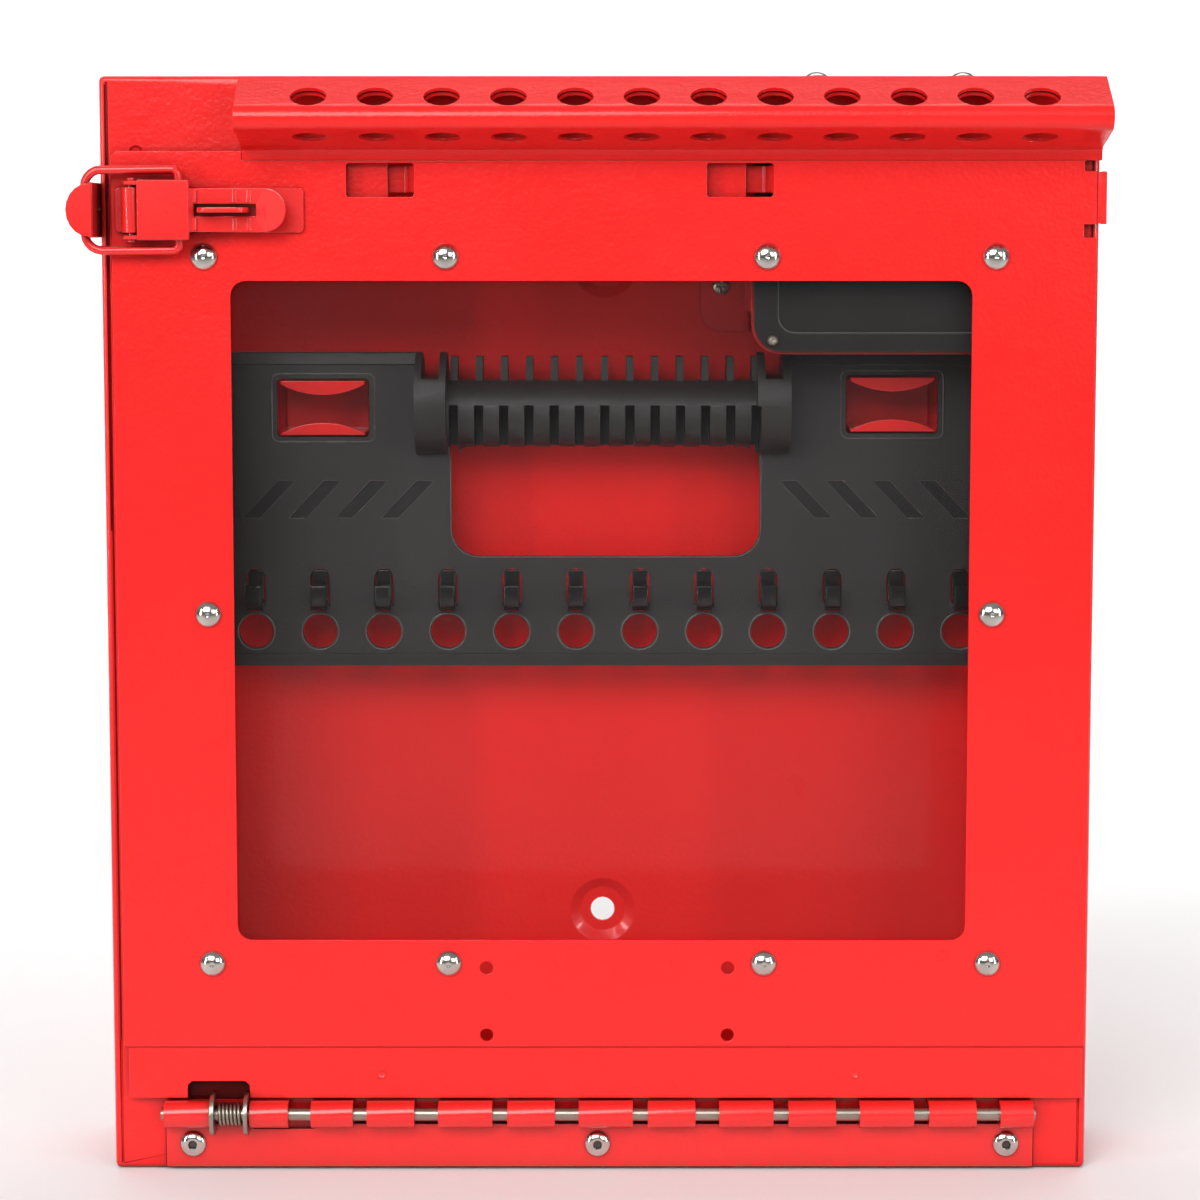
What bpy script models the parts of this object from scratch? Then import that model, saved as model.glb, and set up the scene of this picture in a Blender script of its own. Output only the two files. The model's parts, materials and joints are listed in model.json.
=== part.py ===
"""Wall-mounted group lockout box: a sheet-steel case with a windowed drop-down door, a twelve-hole hasp nose,
a side draw latch, a sprung piano hinge, a key-drop chute and a removable hook rack.

The front faces -Y, +X is to the right and +Z is up. The driving sizes are in millimetres, with Y = 0 at the door's
front face and Z = 0 under the case. The helpers turn them into metres and set the origin under the case's middle.
"""

import math

import bmesh
import bpy
from mathutils import Matrix, Vector

MM = 0.001
ORIGIN_Y = 37.0  # from the door's front face back to the origin
GAP = 0.3  # air between pieces that touch
LAP = 0.05  # joined shapes stand this far off each other's faces, so that no two faces coincide

# Case
CASE_WIDTH = 356.0
CASE_HEIGHT = 397.0
CASE_DEPTH = 65.5
CASE_FRONT = 4.5
SHEET = 1.5
SIDE_LIP = 14.0  # width of the inward lips beside the door opening
OPENING_LOW = 44.0
OPENING_HIGH = 344.0
CASE_LEFT = -CASE_WIDTH / 2
CASE_RIGHT = CASE_WIDTH / 2
CASE_BACK = CASE_FRONT + CASE_DEPTH

# Door
DOOR_LEFT = -173.5
DOOR_RIGHT = 176.5
DOOR_LOW = 46.9
DOOR_TOP = 371.3
STRIP_SETBACK = 0.9
STRIP_LOW = 27.2
WINDOW_LEFT = -131.5
WINDOW_RIGHT = 132.5
WINDOW_LOW = 86.2
WINDOW_HIGH = 324.6
WINDOW_RADIUS = 5.3
PANE_SHEET = 3.0

# Padlock nose along the top of the door, and the case's matching hasp flange
NOSE_LEFT = -127.0
NOSE_RIGHT = 178.0
NOSE_FRONT = -23.0  # centre of the front bend
NOSE_BEND = 5.0
UPPER_SLOPE = math.radians(31.0)
LOWER_SLOPE = math.radians(12.6)
UPPER_BACK = -8.0
FLANGE_DROP = 2.3  # from the nose's outer face down to the flange's
FLANGE_TIP = -25.2
PADLOCK_HOLES = 12
PADLOCK_PITCH = 23.2
PADLOCK_FIRST = -101.4
PADLOCK_RADIUS = 6.35
UPPER_HOLE_Y = -20.6
LOWER_HOLE_Y = -15.2
FLANGE_HOLE_Y = -18.3

# Hook tabs on the door and the openings they enter
SLOTS = ((-90.0, -66.1), (38.0, 61.4))
SLOT_LOW = 354.3
SLOT_HIGH = 366.2
SOCKETS = ((-75.5, -58.0), (52.0, 69.5))
SOCKET_LOW = 353.2
SOCKET_HIGH = 366.8
TAB_HEIGHT = 9.6
TAB_REACH = 13.4
TAB_LOW = 344.6  # the push tab on the door's right edge
TAB_HIGH = 363.4

# Rivets
RIVET_HEAD = 4.75
RIVET_SHANK = 2.4
RIVET_HOLE = 2.7
RIVET_COLUMN = 140.8
RIVET_INNER = (-55.0, 59.5)
RIVET_ROWS = (77.5, 205.3, 333.2)

# Hinge
PIN_Y = -0.8
PIN_Z = 21.75
PIN_RADIUS = 2.4
KNUCKLE_RADIUS = 5.0
KNUCKLE_BORE = 2.7
LEAF_SHEET = 1.5
LEAF_LEFT = -158.9
LEAF_RIGHT = 158.6
LEAF_TOP = 17.2
KNUCKLE_PITCH = 51.2
HINGE_RIVETS = (-149.1, -0.9, 148.7)
HINGE_RIVET_Z = 9.8
SPRING_TURNS = 6

# Draw latch
LATCH_Z = 349.6
LEVER_PIVOT = (-165.5, -5.5)
LEVER_END = -110.4
BAIL_PIVOT_X = -148.8
BAIL_END_X = -182.0
BAIL_HALF = 14.2
BAIL_WIRE = 1.6
KEEPER_SHEET = 1.5
KEEPER_HALF = 9.75
KEEPER_TIP = -188.0
KEEPER_FACE_Y = -11.5
KEEPER_RIVETS = (13.0, 24.0)

# Hook rack
RACK_MIDDLE = 2.5
RACK_HALF = 146.0
RACK_FRONT = 45.0
RACK_SHEET = 3.0
RACK_LOW = 180.9
RACK_HIGH = 297.8
HOOKS = 12
HOOK_PITCH = 23.86
HOOK_FIRST = -128.3
TAG_HOLE_Z = 193.8
TAG_HOLE_RADIUS = 6.4
HOOK_HALF = 2.8
ARCH_RADIUS = 3.6
GRIP_RADIUS = 12.5
GRIP_Z = 275.2
GRIP_LEFT = -56.5
GRIP_RIGHT = 57.8
GRIP_SLOTS = 13
GRIP_FIRST = -53.9
GRIP_PITCH = 9.27
COLLAR_RADIUS = 18.9
BRACKETS = (("left", -102.6, 277.2), ("right", 108.2, 278.5))

# Key chute and wall-mounting embosses
CHUTE = (55.5, 155.0, 299.0)  # left, right, bottom
CHUTE_SCREW = (62.2, 303.2)
BRACKET_SCREW = (45.6, 321.8)
CHUTE_FRONT = 12.0
CHUTE_BACK = 50.0
CHUTE_RIVETS = (78.7, 131.8)
CHUTE_RIVET_Y = 34.5
KEY_SLOT = (86.0, 124.0, 29.5, 38.5)  # left, right, front, back
MOUNT_HOLES = ((1.0, 83.4), (2.0, 329.7))
DISH_DEPTH = 2.4
DIMPLE = (-165.0, 370.0)

RED = (0.72, 0.018, 0.016, 1.0)
BLACK = (0.035, 0.033, 0.034, 1.0)
ZINC = (0.62, 0.60, 0.57, 1.0)
CLEAR = (0.85, 0.9, 0.9, 0.25)


def clear_scene():
    for obj in list(bpy.data.objects):
        bpy.data.objects.remove(obj, do_unlink=True)


def make_collection(name):
    collection = bpy.data.collections.new(name)
    bpy.context.scene.collection.children.link(collection)
    return collection


clear_scene()
PARTS = make_collection("group_lockout_box")
CUTTERS = make_collection("cutters")


# ---------------------------------------------------------------- helpers


def place(name, mesh, home):
    obj = bpy.data.objects.new(name, mesh)
    home.objects.link(obj)
    if home is CUTTERS:
        obj.hide_render = True
        obj.display_type = "WIRE"
    return obj


def finish(obj, colour, roughness, metallic):
    """Give a part its own Principled material."""
    material = bpy.data.materials.new(obj.name)
    material.use_nodes = True
    shader = material.node_tree.nodes["Principled BSDF"]
    shader.inputs["Base Color"].default_value = colour
    shader.inputs["Roughness"].default_value = roughness
    shader.inputs["Metallic"].default_value = metallic
    shader.inputs["Alpha"].default_value = colour[3]
    material.diffuse_color = colour
    obj.data.materials.clear()
    obj.data.materials.append(material)
    return obj


def painted(obj):
    return finish(obj, RED, 0.35, 0.0)


def plastic(obj):
    return finish(obj, BLACK, 0.55, 0.0)


def plated(obj):
    return finish(obj, ZINC, 0.3, 1.0)


def at(point):
    """A point given in millimetres, as a world location."""
    x, y, z = point
    return Vector((x, y - ORIGIN_Y, z)) * MM


def settle(name, mesh, matrix, home):
    """Place a mesh with its coordinates in world space, snapped so that flush faces are exactly flush."""
    mesh.transform(Matrix.Translation((0, -ORIGIN_Y * MM, 0)) @ matrix)
    for vertex in mesh.vertices:
        vertex.co = [round(value, 7) for value in vertex.co]
    return place(name, mesh, home)


def box(name, low, high, home=CUTTERS):
    """An axis-aligned block between two corners in millimetres."""
    low = Vector(low) * MM
    high = Vector(high) * MM
    made = bmesh.new()
    bmesh.ops.create_cube(made, size=1.0)
    bmesh.ops.scale(made, vec=high - low, verts=made.verts)
    mesh = bpy.data.meshes.new(name)
    made.to_mesh(mesh)
    made.free()
    return settle(name, mesh, Matrix.Translation((low + high) / 2), home)


def turn_to(axis):
    """Rotation that takes local Z to a world direction."""
    return Vector(axis).to_track_quat("Z", "Y").to_matrix().to_4x4()


def rod(name, centre, axis, radius, length, sides=20, tip=None, home=CUTTERS):
    """A cylinder, or a cone when tip gives the radius at its far end."""
    made = bmesh.new()
    bmesh.ops.create_cone(
        made,
        cap_ends=True,
        segments=sides,
        radius1=radius * MM,
        radius2=(radius if tip is None else tip) * MM,
        depth=length * MM,
    )
    mesh = bpy.data.meshes.new(name)
    made.to_mesh(mesh)
    made.free()
    return settle(name, mesh, Matrix.Translation(Vector(centre) * MM) @ turn_to(axis), home)


def arc(centre, radius, start, stop, steps):
    """Points on an arc, angles in degrees, both ends included."""
    angles = [math.radians(start + (stop - start) * i / steps) for i in range(steps + 1)]
    return [(centre[0] + radius * math.cos(a), centre[1] + radius * math.sin(a)) for a in angles]


def circle(x, z, radius, sides=16):
    return arc((x, z), radius, 0, 360 - 360 / sides, sides - 1)


def rounded(left, low, right, high, radius, steps=4):
    """A rectangle's outline with round corners."""
    corners = (
        (right - radius, high - radius, 0),
        (left + radius, high - radius, 90),
        (left + radius, low + radius, 180),
        (right - radius, low + radius, 270),
    )
    points = []
    for x, z, start in corners:
        points += arc((x, z), radius, start, start + 90, steps)
    return points


# Local X, Y and Z of a flat outline, in world axes, for plates that face along each axis
FACING = {
    "X": Matrix(((0, 0, 1), (1, 0, 0), (0, 1, 0))),
    "Y": Matrix(((1, 0, 0), (0, 0, -1), (0, 1, 0))),
    "Z": Matrix.Identity(3),
}


def to_mesh_object(rough, home):
    """Replace a curve or modified object by a welded mesh object in the same place."""
    bpy.context.view_layer.update()
    graph = bpy.context.evaluated_depsgraph_get()
    mesh = bpy.data.meshes.new_from_object(rough.evaluated_get(graph))
    made = bmesh.new()
    made.from_mesh(mesh)
    bmesh.ops.remove_doubles(made, verts=made.verts, dist=0.00001)
    bmesh.ops.recalc_face_normals(made, faces=made.faces)
    made.to_mesh(mesh)
    made.free()
    name = rough.name
    matrix = rough.matrix_world.copy()
    bpy.data.objects.remove(rough, do_unlink=True)
    return settle(name, mesh, matrix, home)


def plate(name, loops, facing, near, far, home=CUTTERS):
    """A flat plate: closed outlines, holes inside, between two depths along the axis it faces."""
    data = bpy.data.curves.new(name, "CURVE")
    data.dimensions = "2D"
    data.fill_mode = "BOTH"
    data.extrude = abs(far - near) / 2 * MM
    for loop in loops:
        spline = data.splines.new("POLY")
        spline.points.add(len(loop) - 1)
        for point, (u, v) in zip(spline.points, loop):
            point.co = (u * MM, v * MM, 0, 1)
        spline.use_cyclic_u = True
    curve = bpy.data.objects.new(name, data)
    home.objects.link(curve)
    middle = (near + far) / 2 * MM
    offset = {"X": (middle, 0, 0), "Y": (0, middle, 0), "Z": (0, 0, middle)}[facing]
    curve.matrix_world = Matrix.Translation(offset) @ FACING[facing].to_4x4()
    return to_mesh_object(curve, home)


def wire(name, points, radius, cyclic=False, resolution=2, home=CUTTERS):
    """A round wire along points."""
    data = bpy.data.curves.new(name, "CURVE")
    data.dimensions = "3D"
    data.bevel_depth = radius * MM
    data.bevel_resolution = resolution
    data.use_fill_caps = True
    spline = data.splines.new("POLY")
    spline.points.add(len(points) - 1)
    for point, place_mm in zip(spline.points, points):
        point.co = (*(Vector(place_mm) * MM), 1)
    spline.use_cyclic_u = cyclic
    curve = bpy.data.objects.new(name, data)
    home.objects.link(curve)
    return to_mesh_object(curve, home)


def strip(name, path, left, right, thickness, home=CUTTERS):
    """A sheet bent along a (y, z) path, which is its outer face, thickened to the path's right-hand side."""
    made = bmesh.new()
    rows = [[made.verts.new(Vector((x, y, z)) * MM) for x in (left, right)] for y, z in path]
    for low, high in zip(rows, rows[1:]):
        made.faces.new((low[0], low[1], high[1], high[0]))
    mesh = bpy.data.meshes.new(name)
    made.to_mesh(mesh)
    made.free()
    obj = place(name, mesh, home)
    solidify = obj.modifiers.new("sheet", "SOLIDIFY")
    solidify.thickness = thickness * MM
    solidify.offset = -1
    solidify.use_even_offset = True
    return to_mesh_object(obj, home)


def turned(name, profile, centre, axis, steps=16, home=PARTS):
    """A turned shape from an (r, z) profile that runs down its outer side."""
    made = bmesh.new()
    verts = [made.verts.new((r * MM, 0, z * MM)) for r, z in profile]
    for low, high in zip(verts, verts[1:]):
        made.edges.new((low, high))
    mesh = bpy.data.meshes.new(name)
    made.to_mesh(mesh)
    made.free()
    obj = place(name, mesh, home)
    screw = obj.modifiers.new("turn", "SCREW")
    screw.steps = steps
    screw.render_steps = steps
    screw.use_merge_vertices = True
    screw.merge_threshold = 0.00002
    screw.use_smooth_shade = True
    obj.matrix_world = Matrix.Translation(at(centre)) @ turn_to(axis)
    return obj


def boolean(target, other, operation):
    modifier = target.modifiers.new(operation.lower(), "BOOLEAN")
    modifier.operation = operation
    modifier.solver = "EXACT"
    modifier.object = other
    return target


def cut(target, *cutters):
    for cutter in cutters:
        boolean(target, cutter, "DIFFERENCE")


def join(target, *others):
    for other in others:
        boolean(target, other, "UNION")


def hang_on(pivot_name, point, *objects):
    """Parent objects to an empty that stands on their joint's axis, point in millimetres."""
    pivot = bpy.data.objects.new(pivot_name, None)
    pivot.location = at(point)
    pivot.empty_display_size = 0.01
    PARTS.objects.link(pivot)
    for obj in objects:
        obj.parent = pivot
        obj.matrix_parent_inverse = Matrix.Translation(-pivot.location)
    return pivot


# ---------------------------------------------------------------- shared geometry


def padlock_columns():
    return [PADLOCK_FIRST + PADLOCK_PITCH * i for i in range(PADLOCK_HOLES)]


def lower_face_z(y):
    """Height of the nose's lower outer face."""
    return DOOR_TOP - y * math.tan(LOWER_SLOPE)


def nose_bend_centre():
    tangent_y = NOSE_FRONT - NOSE_BEND * math.sin(LOWER_SLOPE)
    return NOSE_FRONT, lower_face_z(tangent_y) + NOSE_BEND * math.cos(LOWER_SLOPE)


def upper_face_z(y, drop=0.0):
    """Height of the nose's upper outer face, or of a face parallel to it and lower by drop."""
    centre_y, centre_z = nose_bend_centre()
    tangent_y = centre_y - NOSE_BEND * math.sin(UPPER_SLOPE)
    tangent_z = centre_z + NOSE_BEND * math.cos(UPPER_SLOPE)
    return tangent_z + (y - tangent_y) * math.tan(UPPER_SLOPE) - drop / math.cos(UPPER_SLOPE)


def window_rivet_places():
    low, middle, high = RIVET_ROWS
    places = [(x, z) for z in (low, high) for x in (-RIVET_COLUMN, *RIVET_INNER, RIVET_COLUMN)]
    return places + [(-RIVET_COLUMN, middle), (RIVET_COLUMN, middle)]


def door_knuckles():
    """Left and right ends of the door leaf's knuckles; the first one leaves room for the spring."""
    first = [(-127.8, -113.6)]
    width = 17.4
    return first + [(-85.0 + KNUCKLE_PITCH * i, -85.0 + KNUCKLE_PITCH * i + width) for i in range(5)]


def case_knuckles():
    ends = [(LEAF_LEFT, -142.3), (-105.4, -90.0)]
    width = 19.8
    ends += [(-59.0 + KNUCKLE_PITCH * i, -59.0 + KNUCKLE_PITCH * i + width) for i in range(4)]
    return ends + [(145.8, 158.0)]


# ---------------------------------------------------------------- case


def build_case():
    """The welded case: back, sides, top, bottom and the lips around the door opening."""
    shell = box("case_shell", (CASE_LEFT, CASE_FRONT, 0), (CASE_RIGHT, CASE_BACK, CASE_HEIGHT), PARTS)
    edges = shell.modifiers.new("bends", "BEVEL")
    edges.width = 1.8 * MM
    edges.segments = 2
    edges.limit_method = "ANGLE"
    cavity = box(
        "case_cavity",
        (CASE_LEFT + SHEET, CASE_FRONT + SHEET, SHEET),
        (CASE_RIGHT - SHEET, CASE_BACK - SHEET, CASE_HEIGHT - SHEET),
    )
    opening = box(
        "case_opening",
        (CASE_LEFT + SIDE_LIP, CASE_FRONT - 5, OPENING_LOW),
        (CASE_RIGHT - SIDE_LIP, CASE_FRONT + 5, OPENING_HIGH),
    )
    flange_slit = box(
        "case_flange_slit",
        (NOSE_LEFT + 1.5, CASE_FRONT - 5, CASE_HEIGHT - SHEET - 2.1),
        (CASE_RIGHT - SHEET - 0.1, CASE_FRONT + 5, CASE_HEIGHT - SHEET - LAP),
    )
    cut(shell, cavity, opening, flange_slit)
    for i, (left, right) in enumerate(SOCKETS):
        low = (left, CASE_FRONT - 5, SOCKET_LOW)
        cut(shell, box(f"case_socket_{i}", low, (right, CASE_FRONT + 5, SOCKET_HIGH)))
    for i, x in enumerate((CASE_LEFT + 2.4, CASE_RIGHT - 3.2)):
        cut(shell, box(f"case_seam_{i}", (x, CASE_FRONT - 1, 2.2), (x + 0.8, CASE_FRONT + 0.8, 394.8)))
    x, z = DIMPLE
    cut(shell, rod("case_dimple", (x, CASE_FRONT, z), (0, 1, 0), 3.0, 1.2, 16, 2.0))
    emboss_back(shell)
    left, right, front, back = KEY_SLOT
    slot = plate(
        "case_key_slot", [rounded(left, front, right, back, 2.5, 3)], "Z", CASE_HEIGHT - 5, CASE_HEIGHT + 5
    )
    cut(shell, slot)
    for i, x in enumerate(CHUTE_RIVETS):
        cut(shell, rod(f"case_top_hole_{i}", (x, CHUTE_RIVET_Y, CASE_HEIGHT), (0, 0, 1), RIVET_HOLE, 10, 12))
    for i, x in enumerate(HINGE_RIVETS):
        cut(shell, rod(f"case_hinge_hole_{i}", (x, CASE_FRONT, HINGE_RIVET_Z), (0, 1, 0), RIVET_HOLE, 10, 12))
    for i, y in enumerate(KEEPER_RIVETS):
        cut(shell, rod(f"case_keeper_hole_{i}", (CASE_LEFT, y, LATCH_Z), (1, 0, 0), RIVET_HOLE, 10, 12))
    return painted(shell)


def emboss_back(shell):
    """Two dished wall-mounting holes, pressed out of the back so that the case stands off the wall."""
    for i, (x, z) in enumerate(MOUNT_HOLES):
        middle = (x, CASE_BACK + DISH_DEPTH / 2 - 0.4, z)
        dish = rod(f"case_dish_{i}", middle, (0, 1, 0), 14.4, DISH_DEPTH + 0.8, 24, 9.8)
        join(shell, dish)
        floor = CASE_BACK + DISH_DEPTH - SHEET
        hollow = rod(f"case_dish_inside_{i}", (x, floor - 1.5, z), (0, 1, 0), 13.3, 3.0, 24, 8.6)
        hole = rod(f"case_dish_hole_{i}", (x, CASE_BACK, z), (0, 1, 0), 4.55, 20, 16)
        cut(shell, hollow, hole)


def build_hasp_flange():
    """The case's flange that lies inside the door's nose, its back edge under the case top."""
    under_top = CASE_HEIGHT - SHEET - GAP
    crease = UPPER_BACK
    while upper_face_z(crease, FLANGE_DROP) < under_top:
        crease += 0.01
    path = [
        (FLANGE_TIP, upper_face_z(FLANGE_TIP, FLANGE_DROP)),
        (crease - 1.2, upper_face_z(crease - 1.2, FLANGE_DROP)),
        (crease - 0.1, under_top - 0.25),
        (crease + 1.2, under_top),
        (24.0, under_top),
    ]
    flange = strip("hasp_flange", path, NOSE_LEFT + 2.0, CASE_RIGHT - SHEET - 0.6, SHEET, PARTS)
    normal = (0, -math.sin(UPPER_SLOPE), math.cos(UPPER_SLOPE))
    for i, x in enumerate(padlock_columns()):
        centre = (x, FLANGE_HOLE_Y, upper_face_z(FLANGE_HOLE_Y, FLANGE_DROP))
        cut(flange, rod(f"flange_hole_{i}", centre, normal, 6.0, 8, 16))
    return painted(flange)


# ---------------------------------------------------------------- key chute


def build_key_chute():
    """Moulded hopper under the key slot, with a rimmed front and an exit in its floor."""
    left, right, low = CHUTE
    high = CASE_HEIGHT - SHEET - GAP - SHEET - GAP
    outline = rounded(left, low, right, high, 10.0, 6)
    rim = plate("key_chute", [outline], "Y", CHUTE_FRONT, CHUTE_FRONT + 2, PARTS)
    duct = box("chute_duct", (left + 6, CHUTE_FRONT + 1, low + 5), (right - 6, CHUTE_BACK, high - LAP))
    join(rim, duct)
    hollow = box(
        "chute_hollow", (left + 8, CHUTE_FRONT + 3.5, low + 7), (right - 8, CHUTE_BACK - 2, high + 5)
    )
    exit_hole = box("chute_exit", (left + 20, CHUTE_BACK - 16, low), (right - 20, CHUTE_BACK - 2, low + 9))
    inset = plate(
        "chute_inset",
        [rounded(left + 8.5, low + 6.7, right - 8.5, high + 8, 6.0, 5)],
        "Y",
        CHUTE_FRONT - 1,
        CHUTE_FRONT + 1.0,
    )
    hole = rod("chute_screw_hole", (CHUTE_SCREW[0], CHUTE_FRONT + 1, CHUTE_SCREW[1]), (0, 1, 0), 1.3, 12, 10)
    cut(rim, hollow, exit_hole, inset, hole)
    return plastic(rim)


def build_chute_bracket():
    """Sheet-steel frame behind the chute's rim, with an arm back to the case wall."""
    left, right, low = CHUTE
    high = CASE_HEIGHT - 3 * SHEET
    near = CHUTE_FRONT + 2 + GAP
    far = near + SHEET
    outline = rounded(left - 0.9, low - 0.9, right + 0.9, high, 10.8, 6)
    frame = plate("chute_bracket", [outline], "Y", near, far, PARTS)
    opening = box("bracket_opening", (left + 5.5, near - 2, low + 4.5), (right - 5.5, far + 2, high + 5))
    wall = CASE_BACK - SHEET - GAP
    arm = box("bracket_arm", (left - 0.9 + LAP, near + 0.4, 313.0), (left + 0.6, wall - LAP, 340.0 - LAP))
    foot_outline = [(left - 9.5, 305.0), (left + 0.4, 305.0), (left + 0.4, 340.0), (left - 17.5, 340.0)]
    foot_outline += arc((left - 9.5, 313.0), 8.0, 180, 262, 5)
    foot = plate("bracket_foot", [foot_outline], "Y", wall - SHEET, wall)
    hole = rod("bracket_screw_hole", (BRACKET_SCREW[0], wall, BRACKET_SCREW[1]), (0, 1, 0), 1.9, 12, 12)
    screw = (CHUTE_SCREW[0], near, CHUTE_SCREW[1])
    chute_hole = rod("bracket_chute_screw_hole", screw, (0, 1, 0), 1.3, 12, 10)
    join(frame, arm, foot)
    cut(frame, opening, hole, chute_hole)
    return painted(frame)


def build_screw(name, centre, head_radius, shank_radius, length):
    """Pan-head screw with a cross recess, its head towards the front."""
    profile = [
        (0, 1.6),
        (head_radius * 0.6, 1.45),
        (head_radius, 0.7),
        (head_radius, 0),
        (shank_radius, 0),
        (shank_radius, -length),
        (0, -length),
    ]
    screw = turned(name, profile, centre, (0, -1, 0), 14)
    x, y, z = centre
    half = head_radius * 0.6
    cut(screw, box(name + "_slot_x", (x - half, y - 3, z - 0.3), (x + half, y - 0.8, z + 0.3)))
    cut(screw, box(name + "_slot_z", (x - 0.3, y - 3, z - half), (x + 0.3, y - 0.8, z + half)))
    return plated(screw)


def build_chute_screws():
    build_screw("chute_screw", (CHUTE_SCREW[0], CHUTE_FRONT - GAP, CHUTE_SCREW[1]), 2.0, 1.0, 5.0)
    wall = CASE_BACK - SHEET - GAP
    head = (BRACKET_SCREW[0], wall - SHEET - GAP, BRACKET_SCREW[1])
    build_screw("bracket_screw", head, 3.2, 1.6, SHEET + GAP)


# ---------------------------------------------------------------- hook rack


def build_rack_bracket(side, centre_x, centre_z):
    """Folded steel channel on the case back that the rack's window hangs on."""
    half = 15.5
    arm = 10.0
    front = RACK_FRONT - 1.5
    wall = CASE_BACK - SHEET - GAP
    name = f"rack_bracket_{side}"
    low = (centre_x - half, front, centre_z - arm)
    channel = box(name, low, (centre_x + half, wall, centre_z + arm), PARTS)
    hollow = box(
        name + "_hollow",
        (centre_x - half - 2, front + 1.2, centre_z - arm + 1.2),
        (centre_x + half + 2, wall - 1.2, centre_z + arm - 1.2),
    )
    mouth_top = centre_z + 4.8
    mouth_low = centre_z - 5.5
    top_edge = arc((centre_x, mouth_top + 33.0), 33.0, 238, 302, 8)
    low_edge = arc((centre_x, mouth_low - 33.0), 33.0, 58, 122, 8)
    mouth = plate(name + "_mouth", [top_edge + low_edge], "Y", front - 2, front + 1.3)
    cut(channel, hollow, mouth)
    return painted(channel)


def hook_columns():
    return [HOOK_FIRST + HOOK_PITCH * i for i in range(HOOKS)]


def rack_outline():
    """The board's edge, notched at the top for the grip."""
    left = RACK_MIDDLE - RACK_HALF
    right = RACK_MIDDLE + RACK_HALF
    notch = 62.0
    floor = GRIP_Z - 5.0
    return [
        (left, RACK_LOW),
        (right, RACK_LOW),
        (right, RACK_HIGH),
        (RACK_MIDDLE + notch, RACK_HIGH),
        (RACK_MIDDLE + notch, floor),
        (RACK_MIDDLE - notch, floor),
        (RACK_MIDDLE - notch, RACK_HIGH),
        (left, RACK_HIGH),
    ]


def rack_holes():
    """Tag holes, hook arches, bracket windows and the finger window."""
    loops = []
    for x in hook_columns():
        loops.append(circle(x, TAG_HOLE_Z, TAG_HOLE_RADIUS, 18))
        foot = [(x - ARCH_RADIUS, 203.2), (x + ARCH_RADIUS, 203.2)]
        loops.append(foot + arc((x, 213.9), ARCH_RADIUS, 0, 180, 6))
    for _, x, z in BRACKETS:
        loops.append(rounded(x - 17.1, z - 10.8, x + 17.1, z + 10.8, 1.0, 1))
    loops.append(rounded(-55.1, 222.0, 59.4, 264.0, 10.0, 5))
    return loops


def hook_profile():
    """One J hook in (y, z): up the back, round the bottom and up to its tip."""
    back = RACK_FRONT + RACK_SHEET - 0.4
    centre = (RACK_FRONT - 3.2, 207.4)
    outer = arc(centre, 5.6, 180, 305, 6)
    inner = arc(centre, 3.6, 305, 180, 5)
    tip = [(centre[0] - 3.6, 211.0), (centre[0] - 5.6, 211.0)]
    shank = [(back, outer[-1][1]), (back, 216.6)]
    shank += [(RACK_FRONT + 0.6, 216.6), (RACK_FRONT + 0.6, inner[0][1] + 1.2)]
    return outer + shank + inner + tip


def build_hook_rack():
    """Moulded board with twelve key hooks, tag holes and a ribbed carrying grip."""
    rack = plate("hook_rack", [rack_outline()], "Y", RACK_FRONT, RACK_FRONT + RACK_SHEET, PARTS)
    cut(rack, plate("rack_openings", rack_holes(), "Y", RACK_FRONT - 5, RACK_FRONT + 8))
    for i, x in enumerate(hook_columns()):
        join(rack, plate(f"rack_hook_{i}", [hook_profile()], "X", x - HOOK_HALF, x + HOOK_HALF))
        low = (x - 4.1, RACK_FRONT + 0.4, 202.4)
        join(rack, box(f"rack_hook_root_{i}", low, (x + 4.1, RACK_FRONT + 2.6, 204.6)))
    grip_y = RACK_FRONT + 1.0
    middle = (GRIP_LEFT + GRIP_RIGHT) / 2
    grip = rod("rack_grip", (middle, grip_y, GRIP_Z), (1, 0, 0), GRIP_RADIUS, GRIP_RIGHT - GRIP_LEFT + 6, 28)
    join(rack, grip)
    for i, (left, right) in enumerate(((-68.1, GRIP_LEFT), (GRIP_RIGHT, 70.0))):
        x = (left + right) / 2
        join(rack, rod(f"rack_collar_{i}", (x, grip_y, 278.9), (1, 0, 0), COLLAR_RADIUS, right - left, 28))
        cut(rack, box(f"rack_collar_notch_{i}", (x - 3.2, grip_y - 25, 288.5), (x + 3.2, grip_y + 25, 310.0)))
    for i in range(GRIP_SLOTS):
        x = GRIP_FIRST + GRIP_PITCH * i
        slot = box(f"grip_slot_{i}", (x - 1.7, grip_y - 25, 250.0), (x + 1.7, grip_y + 3.0, 278.6))
        cut(rack, slot)
        join(rack, box(f"grip_fin_{i}", (x - 1.3, grip_y - 3.0, 283.0), (x + 1.3, grip_y + 9.0, 296.2)))
    for side in (-1, 1):
        for i in range(4):
            cut(rack, rack_bar(side, i))
    return plastic(rack)


def rack_bar(side, index):
    """Cutter for one of the slanted recesses beside the finger window."""
    inner = 63.9 + 17.2 * index
    width = 6.7
    lean = 13.4
    points = [(inner, 250.2), (inner + width, 250.2), (inner + width + lean, 236.2), (inner + lean, 236.2)]
    loop = [(RACK_MIDDLE + side * u, v) for u, v in points]
    return plate(f"rack_bar_{side}_{index}", [loop], "Y", RACK_FRONT - 2, RACK_FRONT + 0.8)


# ---------------------------------------------------------------- door


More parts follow.
